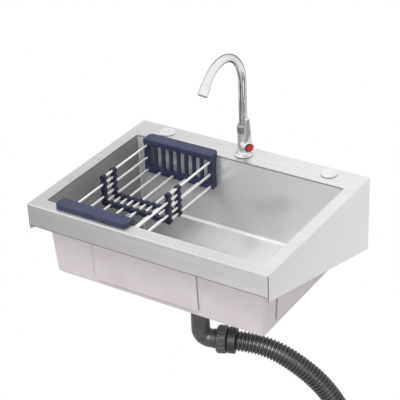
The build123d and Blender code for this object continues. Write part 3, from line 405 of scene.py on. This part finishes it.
def moulded_plastic(name, dark, light, roughness):
    """Polypropylene from a spark-eroded mould: an even, faintly grained skin with a soft sheen.
    The grain of about 0.1 mm is drawn near 1 mm so that it shows."""
    finish, tree, shader = new_finish(name, Roughness=roughness, IOR=1.49)
    place = add(tree, COORDINATES).outputs["Object"]
    clouds = patches(tree, place, PLASTIC_CLOUD_MM, detail=3.0)
    grain = patches(tree, place, PLASTIC_GRAIN_MM)
    wire(tree, shader, {
        "Base Color": tint(tree, clouds, dark, light),
        "Roughness": add(tree, MAP_RANGE, (grain, *MIDDLE, roughness - PLASTIC_ROUGH_SPREAD,
                                           roughness + PLASTIC_ROUGH_SPREAD)),
        "Normal": add(tree, BUMP, {"Height": grain, "Distance": 0.06 * MM, "Strength": 0.4})})
    return finish


def blown_polyethylene():
    """Blow-moulded hose: dark grey and shiny, rougher in the grooves, with painted shade in the grooves and
    painted light on the crests of its ribs.
    """
    finish, tree, shader = new_finish("blown_polyethylene", IOR=1.51)
    crest = add(tree, "ShaderNodeAttribute", attribute_name="crest").outputs["Fac"]
    clouds = patches(tree, add(tree, COORDINATES).outputs["Object"], PLASTIC_CLOUD_MM, detail=3.0)
    skin = tint(tree, clouds, "#494542", "#54504c")
    # Painted light and shade: the crests keep the pale skin colour, the grooves turn near black
    painted_rib_light = add(tree, MAP_RANGE, (crest, *CREST_REACH, 0.0, 1.0))
    wire(tree, shader, {
        "Base Color": add(tree, MIX, {0: painted_rib_light, COLOUR_A: colour("#181514"), COLOUR_B: skin},
                          data_type="RGBA"),
        "Roughness": add(tree, MAP_RANGE, (crest, *CREST_REACH, *HOSE_ROUGH))})
    return finish


def nitrile_rubber():
    """Moulded nitrile rubber: near black, dull, a little dusty."""
    finish, tree, shader = new_finish("nitrile_rubber", Roughness=0.72, IOR=1.52)
    dust = patches(tree, add(tree, COORDINATES).outputs["Object"], RUBBER_DUST_MM, detail=4.0)
    wire(tree, shader, {
        "Base Color": tint(tree, dust, "#1b1b1c", "#2a2a2b"),
        "Normal": add(tree, BUMP, {"Height": dust, "Distance": 0.08 * MM, "Strength": 0.3})})
    return finish


def red_acrylic():
    """Cast acrylic cap: saturated red under a clear, glossy skin, with a darker red ring near its edge."""
    finish, tree, shader = new_finish("red_acrylic", Roughness=0.16, IOR=1.49)
    place = add(tree, COORDINATES).outputs["Object"]
    offset = add(tree, "ShaderNodeVectorMath", (place, box_middle("index_cap")), operation="SUBTRACT")
    reach = add(tree, "ShaderNodeVectorMath", (offset,), operation="LENGTH")
    rim = add(tree, MAP_RANGE, (reach, *CAP_RIM_REACH, 0.0, 1.0))
    red = tint(tree, patches(tree, place, CAP_DEPTH_MM), "#e02f33", "#ee3a3d")
    wire(tree, shader, {"Base Color": add(tree, MIX, {0: rim, COLOUR_A: red, COLOUR_B: colour("#7d161b")},
                                          data_type="RGBA")})
    return finish


FINISHES = {
    "deck_steel": brushed_stainless("brushed_stainless_deck", "deck", "X", "#e3e3e3", "#f4f4f4"),
    "side_steel": brushed_stainless("brushed_stainless_side", "side_panel_right", "Y", "#e4e4e4", "#eaeaea"),
    "bowl_steel": bowl_stainless(),
    "rod_steel": drawn_stainless("drawn_stainless_rod", "#fcfcfc", rough=(0.18, 0.26), metallic=0.25),
    "waste_steel": drawn_stainless("pressed_stainless", "#d6d6d6", rough=(0.16, 0.3)),
    "cover_steel": drawn_stainless("polished_stainless", "#ececec", rough=(0.14, 0.22), metallic=0.6),
    "knurled_chrome": drawn_stainless("knurled_chrome", "#c0c0c0", rough=(0.2, 0.34)),
    "chrome": chrome_plate("chrome_plate", metallic=1.0),
    "handled_chrome": chrome_plate("chrome_plate_handled", metallic=0.7),
    "brass": turned_brass(),
    "coat": sprayed_coat(),
    "navy": moulded_plastic("navy_polypropylene", "#2e344f", "#363c59", roughness=0.42),
    "comb_navy": moulded_plastic("dark_navy_polypropylene", "#1d2236", "#262b42", roughness=0.38),
    "pipe_grey": moulded_plastic("grey_polypropylene", "#464442", "#504e4b", roughness=0.46),
    "hose_grey": blown_polyethylene(),
    "white_plastic": moulded_plastic("white_acetal", "#e6e6e2", "#eeeeea", roughness=0.42),
    "rubber": nitrile_rubber(),
    "red_cap": red_acrylic(),
    "pad_front": sprayed_coat("sound_pad_front", "X"), "pad_rear": sprayed_coat("sound_pad_rear", "X"),
    "pad_left": sprayed_coat("sound_pad_left", "Y"), "pad_right": sprayed_coat("sound_pad_right", "Y"),
}
NODE_FINISH = {
    "deck": "deck_steel", "side_panel_left": "side_steel", "side_panel_right": "side_steel",
    "bowl": "bowl_steel", "bowl_coating": "coat",
    "sound_pad_front": "pad_front", "sound_pad_rear": "pad_rear", "sound_pad_left": "pad_left",
    "sound_pad_right": "pad_right",
    "waste_flange": "waste_steel", "waste_gasket": "rubber", "waste_locknut": "white_plastic",
    "strainer_basket": "waste_steel", "outlet_washer": "rubber", "outlet_nut": "pipe_grey",
    "waste_elbow": "pipe_grey", "union_seal": "rubber", "union_nut": "pipe_grey",
    "waste_hose": "hose_grey", "hose_tail": "rubber",
    "tap_gasket": "rubber", "tap_flange": "handled_chrome", "tap_body": "handled_chrome",
    "tap_shank": "brass", "tap_washer": "waste_steel", "tap_locknut": "brass",
    "valve_cartridge": "white_plastic", "valve_stem": "brass",
    "handle_lever": "handled_chrome", "handle_screw": "waste_steel", "index_cap": "red_cap",
    "spout_nut": "knurled_chrome", "spout": "chrome", "spout_o_rings": "rubber",
    "aerator_housing": "chrome", "aerator_insert": "white_plastic",
    "hole_cover_left": "cover_steel", "hole_cover_right": "cover_steel", "cover_gaskets": "rubber",
    "cover_nuts": "white_plastic",
    "drainer_rear_end": "navy", "drainer_front_end": "navy",
    "drainer_rear_rods": "rod_steel", "drainer_front_rods": "rod_steel",
    "drainer_rear_comb": "comb_navy", "drainer_front_comb": "comb_navy",
}
for node_name, finish_name in NODE_FINISH.items():
    for material_slot in NODES[node_name].material_slots:
        material_slot.material = FINISHES[finish_name]


# Pieces made by node trees
def put(name, data):
    """New object in the scene."""
    made = bpy.data.objects.new(name, data)
    bpy.context.scene.collection.objects.link(made)
    return made


def turned_to(way, place, side):
    """Matrix that moves a shape to a place and turns its Z to a way, with its X or Y as upright as can be."""
    return Matrix.Translation(place) @ way.to_track_quat("Z", side).to_matrix().to_4x4()


def empty_mesh():
    """Mesh with nothing in it, for trees that make their own shape."""
    return bpy.data.meshes.new("start")


def geometry_tree(name, sizes):
    """Node tree with a geometry input, named size inputs, a material input and a geometry output;
    returns it and its inputs."""
    tree = bpy.data.node_groups.new(name, "GeometryNodeTree")
    tree.interface.new_socket("Geometry", in_out="INPUT", socket_type="NodeSocketGeometry")
    for size in sizes:
        tree.interface.new_socket(size, in_out="INPUT", socket_type="NodeSocketFloat")
    tree.interface.new_socket("Finish", in_out="INPUT", socket_type="NodeSocketMaterial")
    tree.interface.new_socket("Geometry", in_out="OUTPUT", socket_type="NodeSocketGeometry")
    return tree, add(tree, "NodeGroupInput").outputs


def end_tree(tree, shape, finish):
    """Closes a tree: real geometry with its finish."""
    real = add(tree, "GeometryNodeRealizeInstances", {"Geometry": shape})
    dressed = add(tree, "GeometryNodeSetMaterial", {"Geometry": real, "Material": finish})
    add(tree, "NodeGroupOutput", {"Geometry": dressed})


def grown(name, base_mesh, tree, finish, sizes, place=None):
    """Runs a tree on a base mesh and keeps the result as a plain mesh, moved to its place."""
    holder = put(name + "_base", base_mesh)
    modifier = holder.modifiers.new(name, "NODES")
    modifier.node_group = tree
    for item in tree.interface.items_tree:
        if item.in_out == "INPUT" and item.name in sizes:
            modifier[item.identifier] = sizes[item.name]
        if item.in_out == "INPUT" and item.name == "Finish":
            modifier[item.identifier] = finish
    evaluated = holder.evaluated_get(bpy.context.evaluated_depsgraph_get())
    mesh = bpy.data.meshes.new_from_object(evaluated)
    bpy.data.objects.remove(holder)
    mesh.name = name
    if place is not None:
        mesh.transform(place)
    mesh.shade_smooth()
    return put(name, mesh)


# Ribbed hose
def ribbed_tube_tree():
    """Tube along the base line: a neck, a thicker cuff, ribs whose pitch grows evenly, and a plain end.
    Its crest attribute is 0 in the grooves and 1 on top of the ribs."""
    tree, size = geometry_tree("ribbed_tube", (
        "Length", "Pitch", "Growth", "Phase", "Crest Radius", "Root Radius", "Neck Radius", "Neck Length",
        "Cuff Radius", "Cuff Length", "Bevel", "End Radius", "End Length", "Step"))
    line = add(tree, "GeometryNodeMeshToCurve", {"Mesh": size["Geometry"]})
    fine = add(tree, "GeometryNodeResampleCurve", {"Curve": line, "Length": size["Step"]}, mode="LENGTH")
    along = add(tree, "GeometryNodeSplineParameter").outputs["Length"]

    # Neck and cuff
    past_neck = add(tree, MATH, (along, size["Neck Length"]), operation="SUBTRACT")
    past_cuff = add(tree, MATH, (past_neck, size["Cuff Length"]), operation="SUBTRACT")
    cuff_rise = add(tree, MAP_RANGE, (past_neck, 0.0, size["Bevel"], size["Neck Radius"],
                                      size["Cuff Radius"]))
    bevel_start = add(tree, MATH, (size["Bevel"], -1.0), operation="MULTIPLY")
    cuff_fall = add(tree, MAP_RANGE, (past_cuff, bevel_start, 0.0, size["Cuff Radius"],
                                      size["Root Radius"]))
    plain_start = add(tree, MATH, (cuff_rise, cuff_fall), operation="MINIMUM")

    # Ribs: the pitch at a place is the root of the first pitch squared plus twice growth by distance
    first_squared = add(tree, MATH, (size["Pitch"], 2.0), operation="POWER")
    stretch = add(tree, MATH, (size["Growth"], past_cuff), operation="MULTIPLY")
    pitch_squared = add(tree, MATH, (stretch, 2.0, first_squared), operation="MULTIPLY_ADD")
    pitch_here = add(tree, MATH, (pitch_squared,), operation="SQRT")
    gain = add(tree, MATH, (pitch_here, size["Pitch"]), operation="SUBTRACT")
    turns = add(tree, MATH, (gain, size["Growth"]), operation="DIVIDE")
    shifted = add(tree, MATH, (turns, size["Phase"]), operation="ADD")
    angle = add(tree, MATH, (shifted, 2 * pi), operation="MULTIPLY")
    wave = add(tree, MATH, (angle,), operation="SINE")
    rib = add(tree, MAP_RANGE, (wave, -RIB_FLANK, RIB_FLANK, size["Root Radius"], size["Crest Radius"]),
              interpolation_type="SMOOTHSTEP")

    # Radius along the whole hose
    end_start = add(tree, MATH, (size["Length"], size["End Length"]), operation="SUBTRACT")
    in_ribs = add(tree, MATH, (past_cuff, 0.0), operation="GREATER_THAN")
    in_end = add(tree, MATH, (along, end_start), operation="GREATER_THAN")
    started = add(tree, MIX, {0: in_ribs, NUMBER_A: plain_start, NUMBER_B: rib})
    radius = add(tree, MIX, {0: in_end, NUMBER_A: started, NUMBER_B: size["End Radius"]})

    # Crest attribute and tube
    rise = add(tree, MATH, (radius, size["Root Radius"]), operation="SUBTRACT")
    rib_height = add(tree, MATH, (size["Crest Radius"], size["Root Radius"]), operation="SUBTRACT")
    height_share = add(tree, MATH, (rise, rib_height), operation="DIVIDE")
    crest = add(tree, MATH, (height_share, in_ribs), operation="MULTIPLY")
    marked = add(tree, "GeometryNodeStoreNamedAttribute", {"Geometry": fine, "Name": "crest", "Value": crest},
                 data_type="FLOAT", domain="POINT")
    ring = add(tree, CIRCLE, {"Resolution": RIB_SIDES, "Radius": 1.0})
    tube = add(tree, SWEEP, {"Curve": marked, "Profile Curve": ring, "Scale": radius})
    end_tree(tree, tube, size["Finish"])
    return tree


def hose_line():
    """Mesh of points and edges along the smooth line of the hose's route."""
    curve = bpy.data.curves.new("hose_line", "CURVE")
    curve.dimensions = "3D"
    spline = curve.splines.new("NURBS")
    spline.points.add(len(HOSE_ROUTE) - 1)
    for point, (along, rise) in zip(spline.points, HOSE_ROUTE):
        place = ELBOW_CORNER + LEG_AXIS * (HOSE_START + along) + Vector((0, 0, rise))
        point.co = (*place, 1.0)
    spline.order_u = HOSE_CURVE_ORDER
    spline.use_endpoint_u = True
    spline.resolution_u = HOSE_CURVE_STEPS
    holder = bpy.data.objects.new("hose_line", curve)
    mesh = bpy.data.meshes.new_from_object(holder)
    bpy.data.objects.remove(holder)
    return mesh


route_line = hose_line()
route_points = [vertex.co.copy() for vertex in route_line.vertices]
line_length = sum((b - a).length for a, b in zip(route_points, route_points[1:]))
ribbed_length = line_length - HOSE_NECK_LENGTH - HOSE_CUFF_LENGTH - HOSE_END_LENGTH
rib_mean = (RIB_PITCH_FIRST + RIB_PITCH_LAST) / 2
rib_count = int(ribbed_length / rib_mean)
rib_stretch = ribbed_length / (rib_count * rib_mean)
hose = grown("ribbed_hose", route_line, ribbed_tube_tree(), FINISHES["hose_grey"], {
    "Length": line_length, "Pitch": RIB_PITCH_FIRST * rib_stretch,
    "Growth": (RIB_PITCH_LAST - RIB_PITCH_FIRST) * rib_stretch / rib_count, "Phase": RIB_PHASE,
    "Crest Radius": HOSE_CREST_D / 2, "Root Radius": HOSE_ROOT_D / 2,
    "Neck Radius": HOSE_NECK_D / 2, "Neck Length": HOSE_NECK_LENGTH,
    "Cuff Radius": HOSE_CUFF_D / 2, "Cuff Length": HOSE_CUFF_LENGTH, "Bevel": HOSE_BEVEL,
    "End Radius": HOSE_END_D / 2, "End Length": HOSE_END_LENGTH, "Step": RIB_STEP})
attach(hose, "sink")
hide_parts("waste_hose")


# Threads
def thread_tree():
    """Helical ridge round Z, from z = 0 upwards."""
    tree, size = geometry_tree("thread", ("Radius", "Height", "Pitch", "Ridge Radius"))
    turns = add(tree, MATH, (size["Height"], size["Pitch"]), operation="DIVIDE")
    spiral = add(tree, "GeometryNodeCurveSpiral", {
        "Resolution": THREAD_TURN_POINTS, "Rotations": turns, "Start Radius": size["Radius"],
        "End Radius": size["Radius"], "Height": size["Height"]})
    section = add(tree, CIRCLE, {"Resolution": THREAD_SIDES, "Radius": size["Ridge Radius"]})
    ridge = add(tree, SWEEP, {"Curve": spiral, "Profile Curve": section, "Fill Caps": True})
    end_tree(tree, ridge, size["Finish"])
    return tree


THREAD = thread_tree()
shank_low, shank_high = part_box("tap_shank")
deck_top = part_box("deck")[1].z
shank_middle = box_middle("tap_shank")
shank_thread = grown(
    "shank_thread", empty_mesh(), THREAD, FINISHES["brass"],
    {"Radius": (shank_high.x - shank_low.x) / 2, "Pitch": THREAD_PITCH, "Ridge Radius": THREAD_RIDGE,
     "Height": deck_top - SHANK_THREAD_TOP_DROP - 2 * THREAD_END_GAP - shank_low.z},
    Matrix.Translation((shank_middle.x, shank_middle.y, shank_low.z + THREAD_END_GAP)))
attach(shank_thread, "sink")
for side in ("left", "right"):
    stud_middle = box_middle("hole_cover_" + side)
    stud_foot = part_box("hole_cover_" + side)[0].z
    stud_thread = grown(
        "stud_thread_" + side, empty_mesh(), THREAD, FINISHES["waste_steel"],
        {"Radius": STUD_D / 2, "Pitch": STUD_THREAD_PITCH, "Ridge Radius": STUD_THREAD_RIDGE,
         "Height": STUD_FREE_LENGTH},
        Matrix.Translation((stud_middle.x, stud_middle.y, stud_foot + STUD_THREAD_RIDGE)))
    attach(stud_thread, "sink")


# Seam round the middle of the elbow's bend
def bead_tree():
    """Thin round bead along a circle in the XY plane."""
    tree, size = geometry_tree("bead", ("Radius", "Bead Radius"))
    circle = add(tree, CIRCLE, {"Resolution": ELBOW_SEAM_POINTS, "Radius": size["Radius"]})
    section = add(tree, CIRCLE, {"Resolution": ELBOW_SEAM_SIDES, "Radius": size["Bead Radius"]})
    end_tree(tree, add(tree, SWEEP, {"Curve": circle, "Profile Curve": section}), size["Finish"])
    return tree


# The bend is a quarter circle between the upright leg and the level one, which meet in the elbow's corner
down = Vector((0.0, 0.0, -1.0))
bend_middle = ELBOW_CORNER + (LEG_AXIS - down) * ELBOW_BEND_R * (1 - 1 / sqrt(2))
elbow_seam = grown("elbow_seam", empty_mesh(), bead_tree(), FINISHES["pipe_grey"],
                   {"Radius": ELBOW_PIPE_D / 2, "Bead Radius": ELBOW_SEAM_R},
                   turned_to(LEG_AXIS + down, bend_middle, "X"))
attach(elbow_seam, "sink")


# Wire screen in the aerator
def screen_tree():
    """Round woven screen in the XY plane: a grid of wires cut to a circle."""
    tree, size = geometry_tree("wire_screen", ("Radius", "Pitch", "Wire Radius"))
    width = add(tree, MATH, (size["Radius"], 2.0), operation="MULTIPLY")
    meshes = add(tree, MATH, (width, size["Pitch"]), operation="DIVIDE")
    whole_meshes = add(tree, MATH, (meshes,), operation="ROUND")
    count = add(tree, MATH, (whole_meshes, 1.0), operation="ADD")
    grid = add(tree, "GeometryNodeMeshGrid", {"Size X": width, "Size Y": width, "Vertices X": count,
                                              "Vertices Y": count})
    reach = add(tree, "ShaderNodeVectorMath", (add(tree, "GeometryNodeInputPosition"),), operation="LENGTH")
    outside = add(tree, MATH, (reach, size["Radius"]), operation="GREATER_THAN")
    disc = add(tree, "GeometryNodeDeleteGeometry", {"Geometry": grid, "Selection": outside})
    wires = add(tree, "GeometryNodeMeshToCurve", {"Mesh": disc})
    section = add(tree, CIRCLE, {"Resolution": SCREEN_WIRE_SIDES, "Radius": size["Wire Radius"]})
    end_tree(tree, add(tree, SWEEP, {"Curve": wires, "Profile Curve": section}), size["Finish"])
    return tree


def aerator_mouth():
    """Place of the aerator's lower end and the direction of the water there."""
    points = [vertex.co for vertex in NODES["aerator_housing"].data.vertices]
    water = Vector((0, -sin(SPOUT_SWEEP), cos(SPOUT_SWEEP)))
    middle = box_middle("aerator_housing")
    reach = max((point - middle).dot(water) for point in points)
    return middle + water * reach, water


mouth, water_way = aerator_mouth()
screen = grown("aerator_screen", empty_mesh(), screen_tree(), FINISHES["waste_steel"],
               {"Radius": SCREEN_RADIUS, "Pitch": SCREEN_PITCH, "Wire Radius": SCREEN_WIRE_D / 2},
               turned_to(water_way, mouth - water_way * SCREEN_INSET, "X"))
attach(screen, "spout")


# Studio
def look_matrix(place, azimuth, elevation, roll):
    """Camera matrix from its place and angles."""
    back = Vector((sin(azimuth) * cos(elevation), -cos(azimuth) * cos(elevation), sin(elevation)))
    level = Vector((cos(azimuth), sin(azimuth), 0.0))
    upright = back.cross(level)
    right = level * cos(roll) + upright * sin(roll)
    up = upright * cos(roll) - level * sin(roll)
    return Matrix.Translation(place) @ Matrix((right, up, back)).transposed().to_4x4()


def set_camera():
    """Camera of the photograph."""
    lens = bpy.data.cameras.new("camera")
    lens.sensor_width = SENSOR_MM
    lens.lens = CAMERA_LENS_MM
    camera = put("camera", lens)
    camera.matrix_world = look_matrix(CAMERA_PLACE, CAMERA_AZIMUTH, CAMERA_ELEVATION, CAMERA_ROLL)
    bpy.context.scene.camera = camera


def seen_directly(tree):
    """1 for rays from the camera, or that a mirror or glass sends on."""
    path = add(tree, "ShaderNodeLightPath").outputs
    mirrored = add(tree, MATH, (path["Is Glossy Ray"], path["Is Transmission Ray"]), operation="MAXIMUM")
    return add(tree, MATH, (path["Is Camera Ray"], mirrored), operation="MAXIMUM")


def set_world():
    """Even light all round, seen as white."""
    world = bpy.data.worlds.new("studio")
    bpy.context.scene.world = world
    world.use_nodes = True
    tree = world.node_tree
    level = add(tree, MIX, {0: seen_directly(tree), NUMBER_A: AMBIENT, NUMBER_B: 1.0})
    wire(tree, tree.nodes["Background"], {"Color": WHITE, "Strength": level})


def rectangle(name, width, depth, height, finish):
    """Level rectangle round the Z axis at a height."""
    mesh = bpy.data.meshes.new(name)
    corners = [(x * width / 2, y * depth / 2, height) for x, y in ((-1, -1), (1, -1), (1, 1), (-1, 1))]
    mesh.from_pydata(corners, [], [(0, 1, 2, 3)])
    mesh.materials.append(finish)
    return put(name, mesh)


def set_floor():
    """Plain pale floor under the hose's end, white where it is seen."""
    finish, tree, shader = new_finish("painted_floor", Base_Color=colour("#f4f4f4"), Roughness=0.9)
    white = add(tree, "ShaderNodeEmission", {"Color": WHITE, "Strength": 1.0})
    seen = add(tree, "ShaderNodeMixShader", (seen_directly(tree), shader, white))
    wire(tree, tree.nodes["Material Output"], {"Surface": seen})
    floor = rectangle("floor", FLOOR_SIZE, FLOOR_SIZE, CAD_BOX[0][2] - FLOOR_GAP, finish)


def add_card(name, place, size, sides):
    """Upright card that faces the sink, shaded evenly between the hex values of its two sides.
    Bright metal mirrors it, and the camera doesn't see it."""
    width, height = size
    finish, tree, shader = new_finish(name + "_felt", Roughness=1.0)
    across = add(tree, SPLIT, (add(tree, COORDINATES).outputs["Object"],)).outputs["X"]
    wire(tree, shader, {"Base Color": tint(tree, across, *sides, reach=(-width / 2, width / 2))})
    card = rectangle(name, width, height, 0.0, finish)
    way = Vector((SINK_MIDDLE.x - place[0], SINK_MIDDLE.y - place[1], 0.0))
    card.matrix_world = turned_to(way, place, "Y")
    card.visible_camera = False


def add_lamp(name, place, target, size, power, only=None):
    """Soft square lamp that faces a point: for the whole sink without glints, or for glints on some
    pieces alone."""
    light = bpy.data.lights.new(name, "AREA")
    light.size = size
    light.energy = power
    lamp = put(name, light)
    lamp.matrix_world = turned_to(Vector(place) - target, place, "Y")
    lamp.visible_camera = False
    lamp.visible_glossy = only is not None
    lamp.visible_diffuse = only is None
    if only is not None:
        lit = bpy.data.collections.new(name + "_lit")
        for piece in only:
            lit.objects.link(piece)
        lamp.light_linking.receiver_collection = lit


set_camera()
set_world()
set_floor()
for card_name, (card_place, card_size, card_sides) in CARDS.items():
    add_card(card_name, card_place, card_size, card_sides)
add_lamp("key", KEY_PLACE, SINK_MIDDLE, KEY_SIZE, KEY_POWER)
add_lamp("glint", GLINT_PLACE, HOSE_MIDDLE, GLINT_SIZE, GLINT_POWER,
         (hose, NODES["waste_elbow"], NODES["union_nut"]))

bpy.context.scene.view_settings.view_transform = "Standard"
